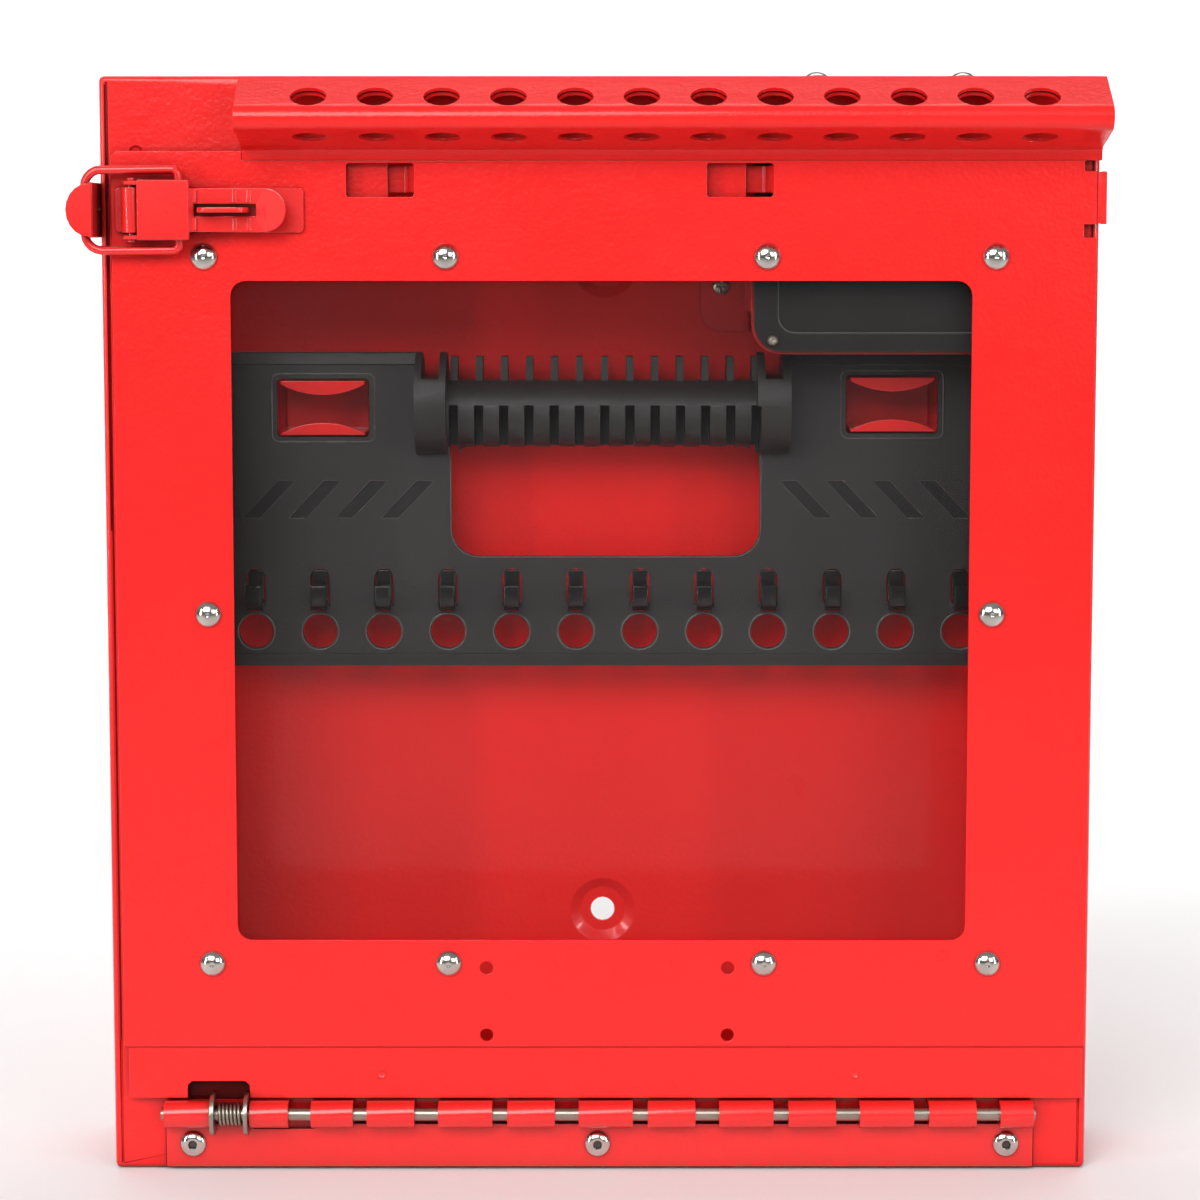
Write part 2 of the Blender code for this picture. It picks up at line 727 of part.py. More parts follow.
def nose_path():
    """Outer face of the door sheet from the panel round the nose to its back edge."""
    centre = nose_bend_centre()
    lower = 270 - math.degrees(LOWER_SLOPE)
    upper = 90 + math.degrees(UPPER_SLOPE)
    root = 2.2
    path = [(-LAP, DOOR_TOP - 4.2), (-LAP, DOOR_TOP - root)]
    path += [(-0.5, DOOR_TOP - 0.55), (-root, lower_face_z(-root))]
    path += arc(centre, NOSE_BEND, lower, upper, 8)
    path.append((UPPER_BACK, upper_face_z(UPPER_BACK)))
    return path


def door_outline():
    """The panel's edge, from its lower left corner, with the push tab's relief notches at the right."""
    notch = 4.6
    return [
        (DOOR_LEFT, DOOR_LOW),
        (DOOR_RIGHT, DOOR_LOW),
        (DOOR_RIGHT, TAB_LOW - notch),
        (DOOR_RIGHT - notch, TAB_LOW - notch),
        (DOOR_RIGHT - notch, TAB_LOW),
        (DOOR_RIGHT, TAB_LOW),
        (DOOR_RIGHT, TAB_HIGH),
        (DOOR_RIGHT - notch, TAB_HIGH),
        (DOOR_RIGHT - notch, TAB_HIGH + notch),
        (DOOR_RIGHT, TAB_HIGH + notch),
        (DOOR_RIGHT, DOOR_TOP - 0.8),
        (DOOR_LEFT + 2.0, DOOR_TOP - 0.8),
        (DOOR_LEFT, DOOR_TOP - 2.8),
    ]


def door_holes():
    loops = [rounded(WINDOW_LEFT, WINDOW_LOW, WINDOW_RIGHT, WINDOW_HIGH, WINDOW_RADIUS, 5)]
    for left, right in SLOTS:
        loops.append(rounded(left, SLOT_LOW, right, SLOT_HIGH, 0.6, 1))
    for x, z in window_rivet_places():
        loops.append(circle(x, z, RIVET_HOLE, 10))
    for x in (-41.3, 46.4):
        for z in (51.0, 75.9):
            loops.append(circle(x, z, 2.4, 12))
    return loops


def build_door():
    """The door sheet with its window, padlock nose, hook tabs, push tab and set-back hinge strip."""
    door = plate("door_panel", [door_outline()], "Y", 0.0, SHEET, PARTS)
    cut(door, plate("door_openings", door_holes(), "Y", -4, 6))
    nose = strip("door_nose", nose_path(), NOSE_LEFT, NOSE_RIGHT, SHEET)
    join(door, nose)
    lips = (("left", DOOR_LEFT + LAP), ("right", DOOR_RIGHT - 1.4 - LAP))
    for side, x in lips:
        top = DOOR_TOP - 3.4 if side == "left" else TAB_LOW - 5.4
        join(door, box(f"door_lip_{side}", (x, 0.2, DOOR_LOW + 0.5), (x + 1.4, CASE_FRONT - GAP, top)))
    join(door, build_hinge_strip())
    for i, (_, right) in enumerate(SLOTS):
        join(door, hook_tab(i, right))
    join(door, *push_tab())
    for hole in nose_hole_cutters():
        cut(door, hole)
    return painted(door)


def build_hinge_strip():
    """Strip set back behind the panel, its top lapped into it and its foot notched for the spring."""
    top = DOOR_LOW + 1.5
    points = [
        (DOOR_LEFT + 1.5, STRIP_LOW),
        (-150.6, STRIP_LOW),
        (-150.6, 32.0),
        (-149.0, 33.5),
        (-129.6, 33.5),
        (-128.0, 32.0),
        (-128.0, STRIP_LOW),
        (DOOR_RIGHT - 0.5, STRIP_LOW),
        (DOOR_RIGHT - 0.5, top),
        (DOOR_LEFT + 1.5, top),
    ]
    return plate("door_strip", [points], "Y", STRIP_SETBACK, STRIP_SETBACK + SHEET)


def hook_tab(index, right):
    """L-shaped tab folded back from the slot's right edge, reaching left behind the case lip."""
    back = CASE_FRONT + SHEET + 0.6
    middle = (SLOT_LOW + SLOT_HIGH) / 2 + 0.35
    outline = [
        (right + 1.2, 0.15),
        (right + 1.2, SHEET - 0.15),
        (right + 0.4, SHEET + 0.4),
        (right - 1.6, back + 0.9),
        (right - 3.0, back + SHEET),
        (right - TAB_REACH, back + SHEET),
        (right - TAB_REACH, back),
        (right - 3.6, back),
        (right - 2.2, back - 0.9),
        (right - 0.4, 0.5),
        (right + 0.1, 0.15),
    ]
    return plate(f"door_hook_{index}", [outline], "Z", middle - TAB_HEIGHT / 2, middle + TAB_HEIGHT / 2)


def push_tab():
    """Finger tab that leaves the door's right edge and turns back along the case side."""
    inside = CASE_RIGHT + GAP
    outside = inside + SHEET
    ear = box("door_ear", (DOOR_RIGHT - 1.0, LAP, TAB_LOW + 0.3), (outside, SHEET - LAP, TAB_HIGH - 0.3))
    wing = box("door_wing", (inside, 0.3, TAB_LOW + 0.35), (outside - LAP, 12.0, TAB_HIGH - 0.35))
    return ear, wing


def nose_hole_cutters():
    upper = (0, -math.sin(UPPER_SLOPE), math.cos(UPPER_SLOPE))
    lower = (0, -math.sin(LOWER_SLOPE), -math.cos(LOWER_SLOPE))
    for i, x in enumerate(padlock_columns()):
        top = (x, UPPER_HOLE_Y, upper_face_z(UPPER_HOLE_Y))
        yield rod(f"nose_upper_hole_{i}", top, upper, PADLOCK_RADIUS, 5, 16)
        bottom = (x, LOWER_HOLE_Y, lower_face_z(LOWER_HOLE_Y))
        yield rod(f"nose_lower_hole_{i}", bottom, lower, PADLOCK_RADIUS, 5, 16)


def build_window():
    """Clear pane riveted behind the door."""
    low, _, high = RIVET_ROWS
    near = SHEET + GAP
    holes = [circle(x, z, RIVET_HOLE, 10) for x, z in window_rivet_places()]
    pane = rounded(-148.0, low - 7.2, 148.0, high + 7.2, 4.0, 3)
    window = plate("window_pane", [pane] + holes, "Y", near, near + PANE_SHEET, PARTS)
    return finish(window, CLEAR, 0.08, 0.0)


def build_dome_rivet(name, centre, axis, grip, open_head=False):
    """Dome-head rivet; grip is how far its shank reaches, and a pop rivet's head is open."""
    shoulder = [(RIVET_HEAD, 0.35), (RIVET_HEAD, 0), (RIVET_SHANK, 0), (RIVET_SHANK, -grip), (0, -grip)]
    dome = [(0, 2.8), (1.9, 2.5), (3.6, 1.6)]
    if open_head:
        dome = [(0, 0.5), (1.5, 0.5), (1.5, 2.1), (2.4, 2.0), (3.9, 1.2)]
    rivet = turned(name, dome + shoulder, centre, axis, 14)
    return plated(rivet)


def build_rivets():
    for i, (x, z) in enumerate(window_rivet_places()):
        build_dome_rivet(f"window_rivet_{i + 1}", (x, -GAP / 2, z), (0, -1, 0), SHEET + PANE_SHEET + GAP)
    for i, x in enumerate(HINGE_RIVETS):
        front = CASE_FRONT - GAP - LEAF_SHEET - GAP / 2
        build_dome_rivet(f"hinge_rivet_{i + 1}", (x, front, HINGE_RIVET_Z), (0, -1, 0), 3.6, open_head=True)
    for i, x in enumerate(CHUTE_RIVETS):
        build_dome_rivet(f"chute_rivet_{i + 1}", (x, CHUTE_RIVET_Y, CASE_HEIGHT + GAP / 2), (0, 0, 1), 3.0)
    for i, y in enumerate(KEEPER_RIVETS):
        outer = CASE_LEFT - GAP - KEEPER_SHEET - GAP / 2
        build_dome_rivet(f"keeper_rivet_{i + 1}", (outer, y, LATCH_Z), (-1, 0, 0), 3.6)


# ---------------------------------------------------------------- hinge


def add_knuckles(leaf, ends, name, join_low, join_high):
    """Roll knuckles at the leaf's edge, with the tongues that join them to it, and bore them."""
    near = CASE_FRONT - GAP - LEAF_SHEET
    for i, (left, right) in enumerate(ends):
        middle = (left + right) / 2
        join(leaf, rod(f"{name}_knuckle_{i}", (middle, PIN_Y, PIN_Z), (1, 0, 0), KNUCKLE_RADIUS, right - left, 20))
        low = (left + LAP, near + LAP, join_low)
        high = (right - LAP, near + LEAF_SHEET - LAP, join_high)
        join(leaf, box(f"{name}_tongue_{i}", low, high))
    cut(leaf, rod(f"{name}_bore", (0, PIN_Y, PIN_Z), (1, 0, 0), KNUCKLE_BORE, 340, 20))
    return leaf


def build_case_leaf():
    near = CASE_FRONT - GAP - LEAF_SHEET
    outline = [
        (LEAF_LEFT, 1.1),
        (LEAF_RIGHT, 1.1),
        (LEAF_RIGHT, LEAF_TOP),
        (-104.8, LEAF_TOP),
        (-104.8, 15.3),
        (-127.0, 15.3),
        (-127.0, LEAF_TOP),
        (LEAF_LEFT, LEAF_TOP),
    ]
    holes = [circle(x, HINGE_RIVET_Z, RIVET_HOLE, 12) for x in HINGE_RIVETS]
    leaf = plate("hinge_case_leaf", [outline], "Y", near, near + LEAF_SHEET, PARTS)
    cut(leaf, plate("case_leaf_holes", holes, "Y", near - 5, near + 5))
    return painted(add_knuckles(leaf, case_knuckles(), "case", LEAF_TOP - 2.5, PIN_Z))


def build_door_leaf():
    near = CASE_FRONT - GAP - LEAF_SHEET
    left = door_knuckles()[0][0]
    right = door_knuckles()[-1][1]
    leaf = plate("hinge_door_leaf", [rounded(left, 27.4, right, 45.0, 0.5, 1)], "Y", near, near + LEAF_SHEET, PARTS)
    return painted(add_knuckles(leaf, door_knuckles(), "door", PIN_Z, 29.0))


def build_hinge_pin():
    pin = rod("hinge_pin", (-0.6, PIN_Y, PIN_Z), (1, 0, 0), PIN_RADIUS, 319.0, 20, home=PARTS)
    return plated(pin)


def build_spring():
    """Compression spring that pushes the door to the right along the pin."""
    left = -139.3
    right = -130.8
    coil_radius = 3.75
    per_turn = 12
    count = SPRING_TURNS * per_turn
    points = []
    for i in range(count + 1):
        angle = 2 * math.pi * i / per_turn
        x = left + (right - left) * i / count
        points.append((x, PIN_Y + coil_radius * math.cos(angle), PIN_Z + coil_radius * math.sin(angle)))
    return plated(wire("hinge_spring", points, 0.62, resolution=1, home=PARTS))


def build_spring_seat(name, left, right):
    """Tall washer at one end of the spring, flat where it faces the case."""
    radius = 7.75
    middle = (left + right) / 2
    seat = rod(name, (middle, PIN_Y, PIN_Z), (1, 0, 0), radius, right - left, 24, home=PARTS)
    flat = box(name + "_flat", (left - 1, 2.1, PIN_Z - 10), (right + 1, 12, PIN_Z + 10))
    bore = rod(name + "_bore", (middle, PIN_Y, PIN_Z), (1, 0, 0), KNUCKLE_BORE, 10, 20)
    cut(seat, flat, bore)
    return plated(seat)


# ---------------------------------------------------------------- draw latch


def build_keeper():
    """Hooked plate on the case's left side that the bail pulls against."""
    outer = CASE_LEFT - GAP - KEEPER_SHEET
    wall = plate(
        "latch_keeper",
        [
            rounded(KEEPER_FACE_Y + LAP, LATCH_Z - KEEPER_HALF, 30.0, LATCH_Z + KEEPER_HALF, 1.0, 2),
            circle(KEEPER_RIVETS[0], LATCH_Z, RIVET_HOLE, 12),
            circle(KEEPER_RIVETS[1], LATCH_Z, RIVET_HOLE, 12),
        ],
        "X",
        outer,
        outer + KEEPER_SHEET,
        PARTS,
    )
    reach = outer - KEEPER_TIP
    curve = arc((0, 0), 1.0, 90, 270, 10)
    outline = [(outer + 0.2 + x * (reach + 0.2), LATCH_Z + z * (KEEPER_HALF - 0.3)) for x, z in curve]
    root = outer + KEEPER_SHEET - 0.3
    outline = [(root, LATCH_Z + KEEPER_HALF - 0.3)] + outline + [(root, LATCH_Z - KEEPER_HALF + 0.3)]
    join(wall, plate("keeper_face", [outline], "Y", KEEPER_FACE_Y, KEEPER_FACE_Y + SHEET))
    return painted(wall)


def build_latch_base():
    """Base plate with the pivot barrel and the padlock staple."""
    pivot_x, pivot_y = LEVER_PIVOT
    low = LATCH_Z - 7.9
    high = LATCH_Z + 7.9
    near = -GAP - SHEET
    base = plate("latch_base", [rounded(-171.8, low, -105.0, high, 1.6, 3)], "Y", near, -GAP, PARTS)
    barrel = rod("base_barrel", (pivot_x, pivot_y, LATCH_Z), (0, 0, 1), 3.6, high - low + 2 * LAP, 20)
    web = box("base_web", (pivot_x - 3.3, pivot_y + 0.4, low + LAP), (pivot_x + 1.8, near + 0.5, high - LAP))
    staple = plate(
        "base_staple",
        [
            rounded(-141.7, -16.0, -123.7, near + 0.6, 4.0, 4),
            circle(-132.7, -11.6, 3.2, 16),
        ],
        "Z",
        LATCH_Z - 0.9,
        LATCH_Z + 0.9,
    )
    bore = rod("base_bore", (pivot_x, pivot_y, LATCH_Z), (0, 0, 1), 1.9, 30, 14)
    join(base, barrel, web, staple)
    cut(base, bore)
    return painted(base)


def lever_path():
    """Outer face of the lever in (x, y), from over the pivot to the lifted tip."""
    return [
        (-163.0, -10.5),
        (-145.0, -10.5),
        (-142.0, -8.0),
        (-127.0, -7.5),
        (-121.5, -7.8),
        (LEVER_END, -11.0),
    ]


def build_lever():
    """Over-centre lever: a wide cheeked part over the pivot and a slotted handle."""
    pivot_x, pivot_y = LEVER_PIVOT
    sheet = 1.5
    outer = lever_path()
    inner = [(x, y + sheet) for x, y in reversed(outer)]
    section = outer + inner
    wide = 10.35
    narrow = 7.7
    lever = plate("latch_lever", [section], "Z", LATCH_Z - wide, LATCH_Z + wide, PARTS)
    trim = [(-144.6, wide + 2), (-144.6, narrow)]
    for sign, side in ((1, "top"), (-1, "low")):
        nose = arc((LEVER_END - narrow, 0), narrow, 90, 0, 6)
        corner = [(LEVER_END + 4, 0), (LEVER_END + 4, wide + 2)]
        loop = [(x, LATCH_Z + sign * z) for x, z in trim + nose + corner]
        cut(lever, plate(f"lever_trim_{side}", [loop], "Y", -20, 0))
    slot = box("lever_slot", (-143.1, -20, LATCH_Z - 2.1), (-121.3, 0, LATCH_Z + 2.1))
    cut(lever, slot)
    for sign, side in ((1, "top"), (-1, "low")):
        face = LATCH_Z + sign * (wide - LAP)
        low, high = sorted((face, face - sign * sheet))
        cheek = [(-163.0, -10.0), (-145.8, -10.0), (-145.4, -5.0), (-147.4, -2.6), (-163.0, -2.6)]
        cheek += arc((pivot_x, pivot_y), 3.1, 110, 220, 5)
        join(lever, plate(f"lever_cheek_{side}", [cheek], "Z", low, high))
    bores = (
        rod("lever_pivot_bore", (pivot_x, pivot_y, LATCH_Z), (0, 0, 1), 1.9, 40, 14),
        rod("lever_bail_bore", (BAIL_PIVOT_X, pivot_y, LATCH_Z), (0, 0, 1), 1.9, 40, 14),
    )
    cut(lever, *bores)
    return painted(lever)


def build_pivot_pin():
    pivot_x, pivot_y = LEVER_PIVOT
    return painted(rod("latch_pivot_pin", (pivot_x, pivot_y, LATCH_Z), (0, 0, 1), 1.55, 22.6, 14, home=PARTS))


def build_bail():
    """Wire loop from the lever's cheeks round the keeper, open between its inturned ends."""
    y = LEVER_PIVOT[1]
    far = BAIL_END_X
    near = BAIL_PIVOT_X
    corner = 6.0
    half = BAIL_HALF
    outline = [(near, 8.0), (near, half - 2.2)]
    outline += arc((near - 2.2, half - 2.2), 2.2, 0, 90, 3)[1:]
    outline += arc((far + corner, half - corner), corner, 90, 180, 5)
    points = [(x, y, LATCH_Z + z) for x, z in outline]
    points += [(x, y, LATCH_Z - z) for x, z in reversed(outline)]
    bail = wire("latch_bail", points, BAIL_WIRE, home=PARTS)
    return painted(bail)


def hang_moving_parts():
    """Stand the moving pieces' pivots on their axes: the door on its pin, the lever and bail on theirs."""
    on_door = [obj for obj in PARTS.objects if obj.name.startswith(("door_", "window_", "hinge_door", "latch_"))]
    fixed_or_lower = ("latch_keeper", "latch_lever", "latch_bail")
    on_door = [obj for obj in on_door if obj.name not in fixed_or_lower]
    door_pivot = hang_on("door_pivot", (0, PIN_Y, PIN_Z), *on_door)
    lever_pivot = hang_on("lever_pivot", (*LEVER_PIVOT, LATCH_Z), bpy.data.objects["latch_lever"])
    bail_pivot = hang_on("bail_pivot", (BAIL_PIVOT_X, LEVER_PIVOT[1], LATCH_Z), bpy.data.objects["latch_bail"])
    for child, parent in ((bail_pivot, lever_pivot), (lever_pivot, door_pivot)):
        child.parent = parent
        child.matrix_parent_inverse = Matrix.Translation(-parent.location)


def main():
    build_case()
    build_hasp_flange()
    build_key_chute()
    build_chute_bracket()
    build_chute_screws()
    for side, x, z in BRACKETS:
        build_rack_bracket(side, x, z)
    build_hook_rack()
    build_door()
    build_window()
    build_rivets()
    build_case_leaf()
    build_door_leaf()
    build_hinge_pin()
    build_spring()
    build_spring_seat("spring_seat_fixed", -142.0, -140.4)
    build_spring_seat("spring_seat_sliding", -129.7, -128.2)
    build_keeper()
    build_latch_base()
    build_lever()
    build_pivot_pin()
    build_bail()
    hang_moving_parts()


main()
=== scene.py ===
"""The looks of a red sheet-steel group lockout box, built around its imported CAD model."""

import json
import math

import bmesh
import bpy
from mathutils import Matrix, Vector


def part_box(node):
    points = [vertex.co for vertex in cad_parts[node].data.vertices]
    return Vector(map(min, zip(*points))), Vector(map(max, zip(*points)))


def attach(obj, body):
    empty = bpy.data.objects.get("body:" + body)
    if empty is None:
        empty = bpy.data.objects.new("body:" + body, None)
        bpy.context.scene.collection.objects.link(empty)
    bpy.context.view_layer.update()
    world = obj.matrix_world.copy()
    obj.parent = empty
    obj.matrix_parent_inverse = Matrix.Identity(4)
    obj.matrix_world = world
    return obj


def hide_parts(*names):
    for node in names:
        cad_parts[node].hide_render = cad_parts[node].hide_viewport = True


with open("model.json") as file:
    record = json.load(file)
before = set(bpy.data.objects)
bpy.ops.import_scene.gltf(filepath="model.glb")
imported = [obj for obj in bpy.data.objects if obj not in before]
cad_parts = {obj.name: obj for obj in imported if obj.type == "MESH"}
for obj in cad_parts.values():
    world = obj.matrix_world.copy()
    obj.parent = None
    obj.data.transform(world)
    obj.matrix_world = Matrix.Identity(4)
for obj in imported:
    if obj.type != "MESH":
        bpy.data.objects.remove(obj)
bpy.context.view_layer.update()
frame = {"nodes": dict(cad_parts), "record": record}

MM = 0.001
ORIGIN_Y = 37.0  # from the door's front face back to the origin, in millimetres
BODIES = frame["record"]["behaviour"]["bodies"]
BODY_OF = {node: body for body, nodes in BODIES.items() for node in nodes}


# ---------------------------------------------------------------- node helpers


class Shader:
    """A Principled material and short ways to add nodes to it."""

    def __init__(self, name):
        self.material = bpy.data.materials.new(name)
        self.material.use_nodes = True
        self.tree = self.material.node_tree
        self.surface = self.tree.nodes["Principled BSDF"]
        self.place = self.tree.nodes.new("ShaderNodeTexCoord").outputs["Object"]

    def add(self, kind, inputs=None, **settings):
        node = self.tree.nodes.new(kind)
        for key, value in settings.items():
            setattr(node, key, value)
        for key, value in (inputs or {}).items():
            self.set(node.inputs[key], value)
        return node

    def set(self, socket, value):
        if isinstance(value, bpy.types.NodeSocket):
            self.tree.links.new(value, socket)
        else:
            socket.default_value = value

    def put(self, **values):
        for key, value in values.items():
            self.set(self.surface.inputs[key.replace("_", " ")], value)

    def noise(self, scale, detail=3.0, roughness=0.5, place=None):
        inputs = {"Vector": place or self.place, "Scale": scale, "Detail": detail, "Roughness": roughness}
        return self.add("ShaderNodeTexNoise", inputs).outputs["Fac"]

    def ramp(self, fac, stops):
        node = self.add("ShaderNodeValToRGB", {"Fac": fac})
        elements = node.color_ramp.elements
        while len(elements) < len(stops):
            elements.new(0.5)
        for element, (position, colour) in zip(elements, stops):
            element.position = position
            element.color = colour if len(colour) == 4 else (*colour, 1.0)
        return node.outputs["Color"]

    def remap(self, fac, low, high):
        inputs = {"Value": fac, "To Min": low, "To Max": high}
        return self.add("ShaderNodeMapRange", inputs).outputs["Result"]

    def math(self, operation, a, b):
        node = self.add("ShaderNodeMath", operation=operation)
        self.set(node.inputs[0], a)
        self.set(node.inputs[1], b)
        return node.outputs["Value"]

    def mix(self, fac, a, b):
        node = self.add("ShaderNodeMix", data_type="RGBA")
        self.set(node.inputs["Factor"], fac)
        self.set(node.inputs["A"], a)
        self.set(node.inputs["B"], b)
        return node.outputs["Result"]

    def bump(self, height, strength, distance, under=None):
        inputs = {"Height": height, "Strength": strength, "Distance": distance}
        if under is not None:
            inputs["Normal"] = under
        return self.add("ShaderNodeBump", inputs).outputs["Normal"]

    def edge(self, radius):
        """About 1 on sharp edges and 0 on flats."""
        soft = self.add("ShaderNodeBevel", {"Radius": radius}, samples=4).outputs["Normal"]
        true = self.add("ShaderNodeNewGeometry").outputs["Normal"]
        dot = self.add("ShaderNodeVectorMath", {0: soft, 1: true}, operation="DOT_PRODUCT").outputs["Value"]
        inputs = {"Value": dot, "From Min": 0.99, "From Max": 0.75, "To Min": 0.0, "To Max": 1.0}
        return self.add("ShaderNodeMapRange", inputs).outputs["Result"]

    def painted_crevice_shade(self, colour, painted_shade_colour, reach=0.014):
        """Painted shade: the colour darkened towards a deep shade in gaps, holes and folds, by ambient occlusion.
        """
        open_sky = self.add("ShaderNodeAmbientOcclusion", {"Distance": reach}, samples=5).outputs["AO"]
        inputs = {"Value": open_sky, "From Min": 0.12, "From Max": 0.70, "To Min": 0.0, "To Max": 1.0}
        return self.mix(self.add("ShaderNodeMapRange", inputs).outputs["Result"], painted_shade_colour, colour)


def rgb(r, g, b):
    return (r, g, b, 1.0)


RED_SHADES = ((0.30, (0.77, 0.0125, 0.0110)), (0.72, (0.86, 0.0175, 0.0155)))


def red_paint(name, tone=1.0, peel=1.0, shine=0.30):
    """Glossy powder coat: orange peel, faint mottling, lighter edges of wear and painted highlight, and painted
    shade in crevices.
    """
    s = Shader(name)
    broad = s.noise(6.0, 4.0)
    mottle = s.noise(260.0, 2.0)
    colour = s.ramp(
        s.math("ADD", s.math("MULTIPLY", broad, 0.7), s.math("MULTIPLY", mottle, 0.3)),
        [(stop, tuple(c * tone for c in shade)) for stop, shade in RED_SHADES],
    )
    # lighter edges: partly wear of the coat, partly a painted highlight along the edges
    wear_and_painted_highlight = s.math("MULTIPLY", s.edge(0.0007), s.remap(s.noise(120.0, 3.0), 0.15, 0.75))
    colour = s.mix(s.math("MULTIPLY", wear_and_painted_highlight, 0.35), colour, rgb(0.90, 0.060, 0.048))
    # painted shade: darker in gaps, holes and folds, from ambient occlusion
    colour = s.painted_crevice_shade(colour, rgb(0.17 * tone, 0.0008, 0.0012))
    peel_height = s.math("ADD", s.noise(620.0, 1.5), s.math("MULTIPLY", s.noise(210.0, 1.0), 0.9))
    patches = s.remap(s.noise(11.0, 2.0), 0.10 * peel, 0.34 * peel)
    normal = s.bump(peel_height, patches, 0.0006)
    s.put(
        Base_Color=colour,
        Roughness=s.remap(s.noise(35.0, 3.0), 0.24, 0.36),
        Normal=normal,
        Specular_IOR_Level=shine,
        Coat_Weight=shine,
        Coat_Roughness=0.08,
        IOR=1.45,
    )
    return s.material


PLASTIC_SHADES = ((0.3, (0.0180, 0.0158, 0.0155)), (0.7, (0.0250, 0.0222, 0.0215)))


def black_plastic(name, grain=1.0, gloss=(0.42, 0.58), tone=1.0, rubbed_and_highlit=0.35):
    """Moulded plastic: fine spark-eroded grain, faint flow marks and lighter edges, partly rubbed wear and partly
    painted highlight.
    """
    s = Shader(name)
    fine = s.noise(1250.0, 2.0)
    flow = s.noise(14.0, 4.0)
    colour = s.ramp(flow, [(stop, tuple(c * tone for c in shade)) for stop, shade in PLASTIC_SHADES])
    # lighter edges: rubbed wear and a painted highlight
    colour = s.mix(s.math("MULTIPLY", s.edge(0.0006), rubbed_and_highlit), colour, rgb(0.085, 0.080, 0.078))
    s.put(
        Base_Color=colour,
        Roughness=s.remap(s.noise(60.0, 3.0), *gloss),
        Specular_IOR_Level=0.42,
        Normal=s.bump(fine, 0.30 * grain, 0.00020),
        IOR=1.5,
    )
    return s.material


def bright_metal(name, tint=(0.66, 0.62, 0.57), rough=(0.09, 0.20)):
    """Zinc or nickel plate: cloudy plating, hairline scratches and a darker colour on sharp edges."""
    s = Shader(name)
    cloud = s.noise(180.0, 4.0, 0.6)
    colour = s.ramp(cloud, [(0.3, tuple(c * 0.82 for c in tint)), (0.7, tint)])
    stretched = s.add("ShaderNodeMapping", {"Vector": s.place, "Scale": (1.0, 14.0, 1.0)}).outputs["Vector"]
    lines = s.noise(700.0, 3.0, 0.7, stretched)
    colour = s.mix(s.math("MULTIPLY", s.edge(0.0004), 0.4), colour, rgb(0.30, 0.28, 0.25))
    s.put(
        Base_Color=colour,
        Metallic=1.0,
        Roughness=s.remap(cloud, *rough),
        Normal=s.bump(lines, 0.10, 0.00015),
    )
    return s.material


def clear_sheet(name):
    """Clear polycarbonate with a little dust haze and fine rub marks."""
    s = Shader(name)
    haze = s.noise(9.0, 5.0, 0.6)
    s.put(
        Base_Color=s.ramp(haze, [(0.3, (0.030, 0.028, 0.029)), (0.7, (0.060, 0.056, 0.057))]),
        Roughness=s.remap(s.noise(220.0, 3.0), 0.06, 0.16),
        Normal=s.bump(s.noise(25.0, 2.0), 0.03, 0.0005),
        Alpha=0.07,
        IOR=1.58,
    )
    return s.material


RED = red_paint("red_powder_coat")
RED_HARDWARE = red_paint("red_powder_coat_hardware", 0.93, 0.35, 0.50)
RED_SHADE = red_paint("red_in_deep_shade", 0.10, 0.3, 0.06)
# a lighter copy of the painted deep shade, for soft shade lines painted along a fold and a seam
RED_SOFT_SHADE = red_paint("red_in_soft_painted_shade", 0.66, 0.5, 0.20)
BLACK = black_plastic("black_moulded_plastic")
SATIN = black_plastic("black_satin_plastic", 0.30, (0.18, 0.30))
# a darkened copy of the plastic: painted shade for the floors of the slanted recesses
RECESS_SHADE = black_plastic("black_recess_painted_shade", 0.8, (0.55, 0.70), 0.30)
# strongly lighter edges: rubbed wear and a painted highlight on the hooks
GLOSSY = black_plastic("black_glossy_hook", 0.10, (0.12, 0.20), 0.55, 0.9)
# a much lighter copy of the plastic: thin rims painted light as highlights
HIGHLIGHT_RIM = black_plastic("black_rim_painted_highlight", 0.3, (0.20, 0.32), 4.2)
# a much lighter copy of the plastic: a thin line painted light as a highlight
HIGHLIGHT_LINE = black_plastic("black_line_painted_highlight", 0.2, (0.12, 0.20), 7.0)
NICKEL = bright_metal("nickel_plate")
STEEL = bright_metal("zinc_steel", (0.42, 0.37, 0.31), (0.26, 0.42))
DARK = bright_metal("dark_steel", (0.10, 0.095, 0.09), (0.4, 0.6))
CLEAR = clear_sheet("clear_polycarbonate")


# ---------------------------------------------------------------- geometry helpers


def add_piece(name, mesh, material, body, replaces=()):
    mesh.materials.clear()
    mesh.materials.append(material)
    obj = bpy.data.objects.new(name, mesh)
    bpy.context.scene.collection.objects.link(obj)
    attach(obj, body)
    if replaces:
        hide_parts(*replaces)
    return obj


def to_mesh(made, name):
    mesh = bpy.data.meshes.new(name)
    made.to_mesh(mesh)
    made.free()
    return mesh


def smooth(mesh, angle=32.0):
    for polygon in mesh.polygons:
        polygon.use_smooth = True
    mesh.set_sharp_from_angle(angle=math.radians(angle))


def weigh_normals(piece):
    weighted = piece.modifiers.new("normals", "WEIGHTED_NORMAL")
    weighted.keep_sharp = True


